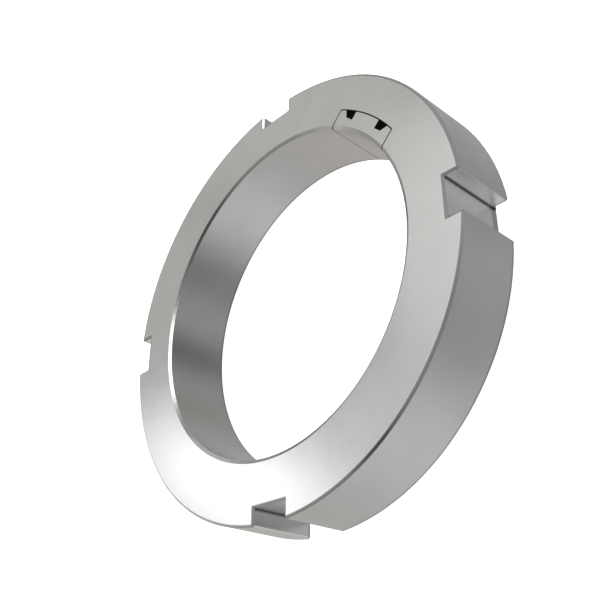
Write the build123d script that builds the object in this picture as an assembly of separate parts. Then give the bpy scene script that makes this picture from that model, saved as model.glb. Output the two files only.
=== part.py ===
from build123d import *
import math
import os

# Lock nut for an M60 x 2 shaft thread: a slotted steel ring with a steel locking insert in its bore.
# The nut lies on its bearing face, z = 0. The face that shows in use is on top, and slots face X and Y.
# All sizes are in millimetres.

# Ring
outer_diameter = 80.0
ring_wall = 10.45
flange_width = 12.0
collar_step = 2.5
collar_height = 1.0
collar_chamfer = 0.4
bore_chamfer_radial = 0.6
bore_chamfer_axial = 0.35
edge_chamfer = 0.3

# Spanner slots
slot_count = 4
slot_width = 7.0
slot_depth = 3.0

# Locking insert, in a pocket halfway between two slots
insert_angle = 45.0
insert_width = 15.1
insert_thickness = 3.5
insert_side_clearance = 0.1
insert_back_clearance = 0.1

# Elastomer strips in the notches of the insert's back
strip_inner_offset = 3.35
strip_back_width = 3.35
strip_front_width = 1.8
strip_depth = 1.75
strip_recess = 0.1

# Grub screw, radial, behind the insert
screw_diameter = 6.0
screw_recess = 0.7
screw_running_clearance = 0.05
screw_tip_gap = 0.05
screw_tip_diameter = 4.0
screw_head_chamfer = 0.3
socket_across_flats = 3.0
socket_depth = 2.5
screw_hole_mouth_chamfer = 0.4

# Worked out from the sizes above
outer_radius = outer_diameter / 2
collar_radius = outer_radius - collar_step
bore_radius = outer_radius - ring_wall
width = collar_height + flange_width
insert_back_radius = bore_radius + insert_thickness
screw_height = width / 2
screw_tip_position = insert_back_radius + screw_tip_gap
screw_head_position = outer_radius - screw_recess
screw_length = screw_head_position - screw_tip_position
cutter_overrun = 2.0
to_insert_place = Rotation(0, 0, insert_angle)


def radial_plane(distance, height):
    """A plane across the +X radius, facing outwards, with its own Y along the nut's axis."""
    return Plane(origin=(distance, 0, height), x_dir=(0, 1, 0), z_dir=(1, 0, 0))


def turned_ring(profile):
    """A ring turned about the nut's axis from a closed (radius, height) profile."""
    return revolve(make_face(Plane.XZ * Polyline(*profile, close=True)), axis=Axis.Z)


def bore_side(mouth_radius):
    """The bore wall's points, from the chamfer on top to the one at the bottom."""
    return [
        (mouth_radius, width),
        (bore_radius, width - bore_chamfer_axial),
        (bore_radius, bore_chamfer_axial),
        (mouth_radius, 0),
    ]


def ring_blank():
    mouth_radius = bore_radius + bore_chamfer_radial
    outside = [
        (collar_radius - collar_chamfer, 0),
        (collar_radius, collar_chamfer),
        (collar_radius, collar_height),
        (outer_radius, collar_height),
        (outer_radius, width),
    ]
    return turned_ring(bore_side(mouth_radius) + outside)


def slot_cutter():
    length = slot_depth + cutter_overrun
    cutter = Box(length, slot_width, width + 2 * cutter_overrun)
    return Pos(outer_radius - slot_depth + length / 2, 0, width / 2) * cutter


def slotted_ring():
    ring = ring_blank()
    for slot in range(slot_count):
        ring -= Rotation(0, 0, slot * 360 / slot_count) * slot_cutter()
    top_edges = ring.faces().sort_by(Axis.Z)[-1].outer_wire().edges()
    slot_corners = ring.edges().filter_by(Axis.Z).filter_by(is_slot_corner)
    return chamfer(top_edges + slot_corners, edge_chamfer)


def is_slot_corner(edge):
    """True for the upright edges where a slot's wall meets the rim."""
    middle = edge.center()
    return math.hypot(middle.X, middle.Y) > outer_radius - edge_chamfer


def pocket_cutter():
    """The space for the insert: its outline, wider by the clearances, open to the bore."""
    pocket_radius = insert_back_radius + insert_back_clearance
    pocket_width = insert_width + 2 * insert_side_clearance
    height = width + 2 * cutter_overrun
    block = Pos(pocket_radius / 2, 0, width / 2) * Box(pocket_radius, pocket_width, height)
    shaft_way = Cylinder(bore_radius - cutter_overrun, height)
    roof = Pos(0, 0, width / 2) * Cylinder(pocket_radius, height)
    return (block & roof) - Pos(0, 0, width / 2) * shaft_way


def screw_hole_cutter():
    """The radial hole from the pocket to the rim, with a chamfered mouth."""
    radius = screw_diameter / 2
    start = insert_back_radius - cutter_overrun
    mouth = outer_radius - screw_hole_mouth_chamfer
    wide = radius + screw_hole_mouth_chamfer + cutter_overrun
    hole = extrude(radial_plane(start, screw_height) * Circle(radius), outer_radius - start + cutter_overrun)
    inner = radial_plane(mouth, screw_height) * Circle(radius)
    outer = radial_plane(outer_radius + cutter_overrun, screw_height) * Circle(wide)
    return hole + loft([inner, outer])


def make_nut_body():
    return slotted_ring() - to_insert_place * pocket_cutter() - to_insert_place * screw_hole_cutter()


def strip_section(side):
    """The strip's cross-section behind the insert: a trapezium that is wide at the back."""
    floor = insert_back_radius - strip_depth
    back = insert_back_radius + cutter_overrun
    flare = (strip_back_width - strip_front_width) / strip_depth
    wide = strip_front_width + flare * (back - floor)
    points = [
        (floor, side * strip_inner_offset),
        (floor, side * (strip_inner_offset + strip_front_width)),
        (back, side * (strip_inner_offset + wide)),
        (back, side * strip_inner_offset),
    ]
    return make_face(Polyline(*points, close=True))


def strip_prism(side, low, high):
    return Pos(0, 0, low) * extrude(strip_section(side), high - low, dir=(0, 0, 1))


def make_locking_insert():
    mouth_radius = bore_radius + bore_chamfer_radial
    back = [(insert_back_radius, 0), (insert_back_radius, width)]
    ring = turned_ring(bore_side(mouth_radius) + back)
    block = Box(insert_back_radius + cutter_overrun, insert_width, width + cutter_overrun)
    insert = ring & Pos((insert_back_radius + cutter_overrun) / 2, 0, width / 2) * block
    for side in (1, -1):
        insert -= strip_prism(side, -cutter_overrun, width + cutter_overrun)
    return to_insert_place * insert


def make_retaining_strip(side):
    strip = strip_prism(side, strip_recess, width - strip_recess)
    strip &= Pos(0, 0, width / 2) * Cylinder(insert_back_radius, width)
    return to_insert_place * strip


def make_grub_screw():
    """Flat-point set screw with a hexagon socket that faces outwards."""
    radius = screw_diameter / 2 - screw_running_clearance
    shank = extrude(radial_plane(screw_tip_position, screw_height) * Circle(radius), screw_length)
    ends = shank.edges().filter_by(GeomType.CIRCLE).sort_by(Axis.X)
    screw = chamfer(ends[-1], screw_head_chamfer)
    tip = screw.edges().filter_by(GeomType.CIRCLE).sort_by(Axis.X)[0]
    screw = chamfer(tip, radius - screw_tip_diameter / 2)
    socket = RegularPolygon(socket_across_flats / 2, 6, major_radius=False)
    socket_plane = radial_plane(screw_head_position - socket_depth, screw_height)
    screw -= extrude(socket_plane * socket, socket_depth + cutter_overrun)
    return to_insert_place * screw


def main():
    os.makedirs("parts", exist_ok=True)
    pieces = {
        "nut_body": make_nut_body(),
        "locking_insert": make_locking_insert(),
        "retaining_strip_left": make_retaining_strip(1),
        "retaining_strip_right": make_retaining_strip(-1),
        "grub_screw": make_grub_screw(),
    }
    for name, piece in pieces.items():
        export_step(piece, f"parts/{name}.step")


main()
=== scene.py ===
import math

import bpy
from mathutils import Matrix, Vector

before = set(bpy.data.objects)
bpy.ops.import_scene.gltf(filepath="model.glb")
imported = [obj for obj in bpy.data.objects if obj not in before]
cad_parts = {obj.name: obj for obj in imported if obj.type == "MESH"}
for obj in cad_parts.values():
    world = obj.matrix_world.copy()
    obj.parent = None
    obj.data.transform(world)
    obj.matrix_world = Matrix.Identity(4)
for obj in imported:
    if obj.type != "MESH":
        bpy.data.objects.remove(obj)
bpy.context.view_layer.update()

MM = 0.001

# Camera: the photo's view onto the middle of the nut, with a 50 mm lens on a 36 mm wide picture
CAMERA_PLACE = Vector((93.757, -69.095, 94.59)) * MM
CAMERA_AIM = Vector((0, 0, 6.5)) * MM
CAMERA_UP = Vector((0.3449, 0.88098, 0.32393))
CAMERA_LENS = 50
CAMERA_SENSOR = 36
CAMERA_NEAR = 0.01
CAMERA_FAR = 100

# Floor: it keeps the nut's shadow and glows for the camera, so that it looks white
FLOOR_HALF = 30.0
FLOOR_ALBEDO = 0.8
FLOOR_GLOW = 0.9

# Studio surroundings: an even light for plain surfaces, and the tones above and below that the metal
# mirrors, which pass into each other between two elevations in degrees
STUDIO_LIGHT = (0.3, 0.3, 0.3)
STUDIO_ABOVE = (0.33, 0.33, 0.33)
STUDIO_BELOW = (0.5, 0.5, 0.5)
STUDIO_WHITE = (1, 1, 1)
HORIZON_FADE = (0, 32)

# Soft screens and flags in the surroundings: azimuth, elevation and width in degrees, added colour
STUDIO_PATCHES = {
    "screen_front": (282, -40, 31, (0.37, 0.37, 0.37)),
    "screen_left": (195, -30, 36, (0.17, 0.14, 0.1)),
    "flag_right": (33, -25, 13, (-0.47, -0.47, -0.47)),
    "flag_front": (332, -26, 19, (-0.32, -0.32, -0.32)),
    "flag_back": (78, -24, 13, (-0.17, -0.2, -0.24)),
    "flag_zenith": (220, 82, 13, (-0.3, -0.3, -0.3)),
    "flag_high": (278, 38, 12, (-0.3, -0.3, -0.3)),
    "flag_low": (110, -12, 10, (-0.22, -0.22, -0.22)),
    "flag_slot": (57, -45, 8, (-0.12, -0.12, -0.12)),
    "screen_rim": (26, -50, 8, (0.09, 0.09, 0.09)),
    "reflector_right": (30, 37, 16, (0.15, 0.15, 0.18)),
    "screen_high": (204, 61, 12, (0.08, 0.07, 0.04)),
}

# Softboxes on a dome about the nut: azimuth, elevation and half angle in degrees, brightness, colour
SOFTBOX_DISTANCE = 0.7
SOFTBOX_UP = Vector((0.01, 0.02, 1))
PLAIN = (1.0, 1.0, 1.0)
WARM = (1.0, 0.98, 0.95)
WARMER = (1.0, 0.97, 0.87)
COOL = (0.98, 0.985, 1.0)
SOFTBOXES = {
    "key": (164, 38, 5, 1.45, COOL),
    "key_high": (168, 43, 5, 1.1, PLAIN),
    "key_low": (160, 33, 5, 0.85, COOL),
    "key_low_left": (164, 33, 5, 0.58, PLAIN),
    "above_key": (156, 48, 8, 0.64, WARM),
    "below_key": (147, 28, 7, 0.38, WARMER),
    "behind": (126, 26, 12, 0.38, WARMER),
    "upper": (126, 50, 12, 0.79, WARM),
    "left": (90, 59, 13, 2.5, PLAIN),
    "back": (54, 36, 6, 3.0, PLAIN),
}

# Lamps that light the floor and don't show in the metal: they draw the soft shadow beside the nut
FLOOR_LAMPS = {
    "floor_left": (172, 45, 12, 13.0, PLAIN),
    "floor_front": (-50, 14, 12, 12.0, PLAIN),
}

# Places on the steel, in millimetres, that its painted light and fine lines of painted shade follow: the
# back edge's height passes from the bore's to the rim's between two radii
OUTER_RADIUS = 40.0
EDGE_CHAMFER = 0.3
SLOT_FLOOR_RADIUS = 37.0
SLOT_HALF_WIDTH = 3.5
SLOT_MARGIN = 0.05
INSERT_HALF_WIDTH = 7.55
INSERT_BACK_RADIUS = 33.05
INSERT_GAP = 0.1
BORE_BACK_EDGE = 0.35
RIM_BACK_EDGE = 1.0
BORE_TO_RIM = (30.5, 36.0)

# Fine dark lines of painted shade: how far the full line reaches, where it has faded, both in
# millimetres, and its shade
SLOT_CORNER_LINE = (0.14, 0.48, 0.35)
INSERT_LINE = (0.09, 0.15, 0.06)
FRONT_EDGE_LINE = (0.09, 0.18, 0.45)
BACK_EDGE_LINE = (0.225, 0.45, 0.62)
INSERT_LINE_IN_BORE = 0.4
# Painted light: how much lighter the slots' walls and floor are painted than the rim
SLOT_PAINTED_LIGHT = 0.36

# How squarely a surface faces along the nut's axis, from 0 on the rim and in the bore to 1 on the front
# face: the spans in which upright surfaces and sides pass into others, and where a flat face begins
UPRIGHT = (0.1, 0.3)
SIDE_TO_FACE = (0.2, 0.6)
FLAT = 0.95

# Marks on the steel. Ring marks are counted per millimetre, the other noises per metre
NOISE_SPAN = (0.3, 0.7)
RING_SCALE = 9.0
RING_DETAIL = 2.0
RING_HEIGHT = 0.4
GRAIN_SCALE = 5200.0
GRAIN_DETAIL = 2.0
GRAIN_ROUGHNESS = 0.6
GRAIN_SHARE = 0.5
CLOUD_SCALE = 160.0
CLOUD_DETAIL = 3.0
TONE_SPAN = (0.97, 1.03)
ROUGHNESS_SPAN = (-0.02, 0.02)
SIDE_CALM = 0.45
STEEL_BUMP = 0.12
BUMP_DISTANCE = 0.04 * MM

# Steels: colour, roughness of the faces, roughness of the sides
NUT_STEEL = ((0.55, 0.55, 0.55), 0.2, 0.28)
INSERT_STEEL = ((0.558, 0.553, 0.546), 0.2, 0.3)
BLACKENED_STEEL = ((0.09, 0.09, 0.095), 0.4, 0.4)

# Elastomer: matt black with fine pores
PORE_SCALE = 4000.0
PORE_DETAIL = 3.0
PORE_BUMP = 0.2
ELASTOMER_SHADE = (0.001, 0.003)
ELASTOMER_ROUGHNESS = (0.7, 0.85)
ELASTOMER_SPECULAR = 0.03


def look_at(place, aim, up):
    """The matrix of a camera or lamp at place that faces aim, with up towards its top edge."""
    back = (place - aim).normalized()
    right = up.cross(back).normalized()
    top = back.cross(right)
    turn = Matrix((right, top, back)).transposed().to_4x4()
    return Matrix.Translation(place) @ turn


def direction(azimuth, elevation):
    """The unit vector towards a place on the dome, from angles in degrees."""
    a, e = math.radians(azimuth), math.radians(elevation)
    return Vector((math.cos(a) * math.cos(e), math.sin(a) * math.cos(e), math.sin(e)))


def make_camera():
    data = bpy.data.cameras.new("camera")
    data.lens = CAMERA_LENS
    data.sensor_width = CAMERA_SENSOR
    data.sensor_fit = "HORIZONTAL"
    data.clip_start = CAMERA_NEAR
    data.clip_end = CAMERA_FAR
    camera = bpy.data.objects.new("camera", data)
    bpy.context.scene.collection.objects.link(camera)
    camera.matrix_world = look_at(CAMERA_PLACE, CAMERA_AIM, CAMERA_UP)
    bpy.context.scene.camera = camera


def make_softbox(name, azimuth, elevation, half_angle, brightness, colour):
    """A round lamp that fills half_angle to each side of its direction with light of this brightness."""
    radius = SOFTBOX_DISTANCE * math.tan(math.radians(half_angle))
    data = bpy.data.lights.new(name, "AREA")
    data.shape = "DISK"
    data.size = 2 * radius
    data.energy = brightness * math.pi * math.pi * radius ** 2
    data.color = colour
    lamp = bpy.data.objects.new(name, data)
    bpy.context.scene.collection.objects.link(lamp)
    place = CAMERA_AIM + direction(azimuth, elevation) * SOFTBOX_DISTANCE
    lamp.matrix_world = look_at(place, CAMERA_AIM, SOFTBOX_UP)
    lamp.visible_camera = False
    return lamp


def make_lamps():
    for name, settings in SOFTBOXES.items():
        make_softbox(name, *settings)
    for name, settings in FLOOR_LAMPS.items():
        make_softbox(name, *settings).visible_glossy = False


class Nodes:
    """Adds nodes to one node tree and links them, so that a material reads as a few lines."""

    def __init__(self, tree):
        self.tree = tree
        tree.nodes.clear()

    def add(self, kind, inputs=(), **settings):
        node = self.tree.nodes.new(kind)
        for key, value in settings.items():
            setattr(node, key, value)
        for key, value in dict(inputs).items():
            if isinstance(value, bpy.types.NodeSocket):
                self.tree.links.new(value, node.inputs[key])
            else:
                node.inputs[key].default_value = value
        return node

    def math(self, operation, a, b=0.0, c=0.0):
        return self.add("ShaderNodeMath", {0: a, 1: b, 2: c}, operation=operation).outputs[0]

    def vector_math(self, operation, a, b, output="Vector"):
        node = self.add("ShaderNodeVectorMath", {0: a, 1: b}, operation=operation)
        return node.outputs[output]

    def scale(self, vector, factor):
        inputs = {0: vector, "Scale": factor}
        return self.add("ShaderNodeVectorMath", inputs, operation="SCALE").outputs["Vector"]

    def mix_value(self, share, first, second):
        return self.add("ShaderNodeMix", {0: share, 2: first, 3: second}).outputs[0]

    def mix_vector(self, share, first, second):
        inputs = {0: share, 4: first, 5: second}
        return self.add("ShaderNodeMix", inputs, data_type="VECTOR").outputs[1]

    def fade(self, value, span, to_low, to_high):
        """Goes from to_low to to_high while value crosses the span, and stays there beyond it."""
        low, high = span
        inputs = {"Value": value, "From Min": low, "From Max": high, "To Min": to_low, "To Max": to_high}
        return self.add("ShaderNodeMapRange", inputs).outputs[0]

    def line(self, distance, line):
        """The shade of a fine line, 1 away from it."""
        reach, end, shade = line
        return self.fade(distance, (reach, end), shade, 1.0)

    def noise(self, place, scale, detail, **more):
        inputs = {"Vector": place, "Scale": scale, "Detail": detail} | more
        return self.add("ShaderNodeTexNoise", inputs).outputs["Fac"]

    def grey(self, shade):
        return self.add("ShaderNodeCombineXYZ", {0: shade, 1: shade, 2: shade}).outputs[0]

    def bump(self, height, strength):
        inputs = {"Height": height, "Strength": strength, "Distance": BUMP_DISTANCE}
        return self.add("ShaderNodeBump", inputs).outputs[0]

    def surface(self, **inputs):
        """Ends the material with a Principled shader. Underscores in the names stand for spaces."""
        named = {key.replace("_", " "): value for key, value in inputs.items()}
        shader = self.add("ShaderNodeBsdfPrincipled", named)
        self.add("ShaderNodeOutputMaterial", {"Surface": shader.outputs[0]})


def new_material(name):
    material = bpy.data.materials.new(name)
    material.use_nodes = True
    return material, Nodes(material.node_tree)


def floor_material():
    material, n = new_material("white_floor")
    path = n.add("ShaderNodeLightPath")
    seen = n.math("MAXIMUM", path.outputs["Is Camera Ray"], path.outputs["Is Glossy Ray"])
    seen = n.math("MAXIMUM", seen, path.outputs["Is Transmission Ray"])
    emission = n.add("ShaderNodeEmission", {"Strength": n.math("MULTIPLY", seen, FLOOR_GLOW)})
    diffuse = n.add("ShaderNodeBsdfDiffuse", {"Color": (FLOOR_ALBEDO,) * 3 + (1,)})
    both = n.add("ShaderNodeAddShader", {0: diffuse.outputs[0], 1: emission.outputs[0]})
    n.add("ShaderNodeOutputMaterial", {"Surface": both.outputs[0]})
    return material


def make_floor():
    """The floor under the nut. The metal mirrors the studio below the horizon instead of it."""
    mesh = bpy.data.meshes.new("floor")
    h = FLOOR_HALF
    mesh.from_pydata([(-h, -h, 0), (h, -h, 0), (h, h, 0), (-h, h, 0)], [], [(0, 1, 2, 3)])
    mesh.materials.append(floor_material())
    floor = bpy.data.objects.new("floor", mesh)
    floor.visible_glossy = False
    bpy.context.scene.collection.objects.link(floor)


def studio_tone(n):
    """The surroundings' colour in a direction: one tone above, one below, and the soft patches."""
    towards = n.add("ShaderNodeTexCoord").outputs["Generated"]
    up = n.add("ShaderNodeSeparateXYZ", {0: towards}).outputs[2]
    horizon = [math.sin(math.radians(edge)) for edge in HORIZON_FADE]
    above = n.fade(up, horizon, 0, 1)
    tone = n.mix_vector(above, STUDIO_BELOW, STUDIO_ABOVE)
    for azimuth, elevation, width, colour in STUDIO_PATCHES.values():
        middle = direction(azimuth, elevation)
        nearness = n.vector_math("DOT_PRODUCT", towards, middle, output="Value")
        spread = 1 - math.cos(math.radians(width))
        distance = n.math("DIVIDE", n.math("SUBTRACT", nearness, 1.0), spread)
        strength = n.math("POWER", math.e, distance)
        tone = n.vector_math("ADD", tone, n.scale(colour, strength))
    return n.vector_math("MAXIMUM", tone, (0, 0, 0))


def make_world():
    """White for the camera, an even light for plain surfaces and the studio's tones for the metal."""
    world = bpy.data.worlds.new("studio")
    bpy.context.scene.world = world
    world.use_nodes = True
    n = Nodes(world.node_tree)
    path = n.add("ShaderNodeLightPath")
    mirrored = n.mix_vector(path.outputs["Is Diffuse Ray"], studio_tone(n), STUDIO_LIGHT)
    seen = n.mix_vector(path.outputs["Is Camera Ray"], mirrored, STUDIO_WHITE)
    background = n.add("ShaderNodeBackground", {"Color": seen})
    n.add("ShaderNodeOutputWorld", {"Surface": background.outputs[0]})


class Place:
    """Distances on a piece, in millimetres, as node sockets made from its object coordinates."""

    def __init__(self, n):
        self.n = n
        source = n.add("ShaderNodeTexCoord")
        self.vector = source.outputs["Object"]
        xyz = n.add("ShaderNodeSeparateXYZ", {0: self.vector})
        self.x, self.y, self.z = [n.math("MULTIPLY", axis, 1 / MM) for axis in xyz.outputs]
        self.radius = self.length(self.x, self.y)
        abs_x, abs_y = n.math("ABSOLUTE", self.x), n.math("ABSOLUTE", self.y)
        # The slots lie on the X and Y axes, so a point belongs to the axis on which it is further out
        self.along_slot = n.math("MAXIMUM", abs_x, abs_y)
        self.across_slot = n.math("MINIMUM", abs_x, abs_y)
        normal = n.add("ShaderNodeSeparateXYZ", {0: source.outputs["Normal"]})
        self.facing = n.math("ABSOLUTE", normal.outputs[2])
        self.upright = n.fade(self.facing, UPRIGHT, 1.0, 0.0)

    def length(self, a, b):
        """The distance that two distances at right angles make."""
        n = self.n
        return n.math("POWER", n.math("ADD", n.math("MULTIPLY", a, a), n.math("MULTIPLY", b, b)), 0.5)

    def slot_corner(self):
        """How far a point is from the nearest corner between a slot's floor and wall."""
        n = self.n
        along = n.math("SUBTRACT", self.along_slot, SLOT_FLOOR_RADIUS)
        across = n.math("SUBTRACT", self.across_slot, SLOT_HALF_WIDTH)
        return self.length(along, across)

    def in_slot(self):
        """1 inside a slot, on its floor and walls, and 0 elsewhere."""
        n = self.n
        between_walls = n.math("LESS_THAN", self.across_slot, SLOT_HALF_WIDTH + SLOT_MARGIN)
        above_floor = n.math("GREATER_THAN", self.along_slot, SLOT_FLOOR_RADIUS - SLOT_MARGIN)
        return n.math("MULTIPLY", between_walls, above_floor)

    def front_edge(self):
        """How far a point of the front face is from its outer edge, round the slots too."""
        n = self.n
        root = n.math("SUBTRACT", SLOT_FLOOR_RADIUS - EDGE_CHAMFER, self.along_slot)
        side = n.math("SUBTRACT", self.across_slot, SLOT_HALF_WIDTH + EDGE_CHAMFER)
        rim = n.math("SUBTRACT", OUTER_RADIUS - EDGE_CHAMFER, self.radius)
        return n.math("MINIMUM", rim, n.math("MAXIMUM", root, side))

    def back_edge(self):
        """How far a point of the rim or the bore is above its back edge."""
        n = self.n
        edge = n.fade(self.radius, BORE_TO_RIM, BORE_BACK_EDGE, RIM_BACK_EDGE)
        return n.math("SUBTRACT", self.z, edge)

    def insert_outline(self):
        """How far a point is from the middle of the gap round the insert, which lies at 45 degrees."""
        n = self.n
        diagonal = math.sqrt(0.5)
        outwards = n.math("MULTIPLY", n.math("ADD", self.x, self.y), diagonal)
        across = n.math("ABSOLUTE", n.math("MULTIPLY", n.math("SUBTRACT", self.y, self.x), diagonal))
        side = n.math("SUBTRACT", across, INSERT_HALF_WIDTH + INSERT_GAP / 2)
        back = n.math("SUBTRACT", self.radius, INSERT_BACK_RADIUS + INSERT_GAP / 2)
        outside = self.length(n.math("MAXIMUM", side, 0.0), n.math("MAXIMUM", back, 0.0))
        inside = n.math("ABSOLUTE", n.math("MINIMUM", n.math("MAXIMUM", side, back), 0.0))
        # 1 mm more on the nut's opposite side, which has no insert
        far_side = n.math("LESS_THAN", outwards, 0.0)
        return n.math("ADD", n.math("MAXIMUM", outside, inside), far_side)


def slot_shade(n, place):
    """Painted light and shade: the slots' walls and floor are painted a little lighter than the rim,
    with a painted dark line of shade in their corners.
    """
    # Painted light: the slots' upright walls and floor get a lighter colour
    slot_light = n.math("MULTIPLY", n.math("MULTIPLY", place.in_slot(), place.upright), SLOT_PAINTED_LIGHT)
    # Painted shade: a dark line in the corners between each slot's floor and walls
    corner = n.line(n.math("ADD", place.slot_corner(), place.facing), SLOT_CORNER_LINE)
    return n.math("MULTIPLY", n.math("ADD", slot_light, 1.0), corner)


def insert_shade(n, place):
    """A painted dark line of shade in the gap round the insert, which shows less in the bore."""
    outline = n.line(place.insert_outline(), INSERT_LINE)
    return n.math("MAXIMUM", outline, n.math("MULTIPLY", place.upright, INSERT_LINE_IN_BORE))


def edge_shade(n, place):
    """Painted shade: dark lines along the front face's outer edge and along the back edges. Sloping
    chamfers have none.
    """
    sloping = n.math("LESS_THAN", place.facing, FLAT)
    front = n.line(n.math("MAXIMUM", place.front_edge(), sloping), FRONT_EDGE_LINE)
    back = n.line(place.back_edge(), BACK_EDGE_LINE)
    return n.mix_value(place.upright, front, back)


def steel(name, colour, face_roughness, side_roughness, lines=True):
    """Turned and finely ground steel: ring marks, a fine grain and a slight unevenness of tone."""
    material, n = new_material(name)
    place = Place(n)
    rings_at = {"W": n.math("ADD", place.radius, place.z), "Scale": RING_SCALE, "Detail": RING_DETAIL}
    rings = n.add("ShaderNodeTexNoise", rings_at, noise_dimensions="1D").outputs["Fac"]
    grain = n.noise(place.vector, GRAIN_SCALE, GRAIN_DETAIL, Roughness=GRAIN_ROUGHNESS)
    cloud = n.noise(place.vector, CLOUD_SCALE, CLOUD_DETAIL)
    tone = n.fade(cloud, NOISE_SPAN, *TONE_SPAN)
    # Painted light and shade: lighter slots, and dark lines in the slot corners, round the insert and
    # along the edges
    if lines:
        for shade in (slot_shade, insert_shade, edge_shade):
            tone = n.math("MULTIPLY", tone, shade(n, place))
    calm = n.fade(place.facing, SIDE_TO_FACE, SIDE_CALM, 1.0)
    uneven = n.fade(n.mix_value(GRAIN_SHARE, cloud, grain), NOISE_SPAN, *ROUGHNESS_SPAN)
    even = n.fade(place.facing, SIDE_TO_FACE, side_roughness, face_roughness)
    height = n.math("MULTIPLY", n.math("MULTIPLY_ADD", rings, RING_HEIGHT, grain), calm)
    n.surface(
        Base_Color=n.vector_math("MULTIPLY", colour, n.grey(tone)),
        Metallic=1.0,
        Roughness=n.math("MULTIPLY_ADD", uneven, calm, even),
        Normal=n.bump(height, STEEL_BUMP),
    )
    return material


def elastomer():
    material, n = new_material("black_elastomer")
    place = n.add("ShaderNodeTexCoord").outputs["Object"]
    pores = n.noise(place, PORE_SCALE, PORE_DETAIL)
    n.surface(
        Base_Color=n.grey(n.fade(pores, NOISE_SPAN, *ELASTOMER_SHADE)),
        Roughness=n.fade(pores, NOISE_SPAN, *ELASTOMER_ROUGHNESS),
        Specular_IOR_Level=ELASTOMER_SPECULAR,
        Normal=n.bump(pores, PORE_BUMP),
    )
    return material


def dress(node, material):
    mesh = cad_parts[node].data
    mesh.materials.clear()
    mesh.materials.append(material)


def dress_all():
    dress("nut_body", steel("nut_steel", *NUT_STEEL))
    dress("locking_insert", steel("insert_steel", *INSERT_STEEL))
    dress("grub_screw", steel("blackened_steel", *BLACKENED_STEEL, lines=False))
    strip_material = elastomer()
    dress("retaining_strip_left", strip_material)
    dress("retaining_strip_right", strip_material)


make_camera()
make_floor()
make_world()
make_lamps()
dress_all()

bpy.context.scene.view_settings.view_transform = "Standard"
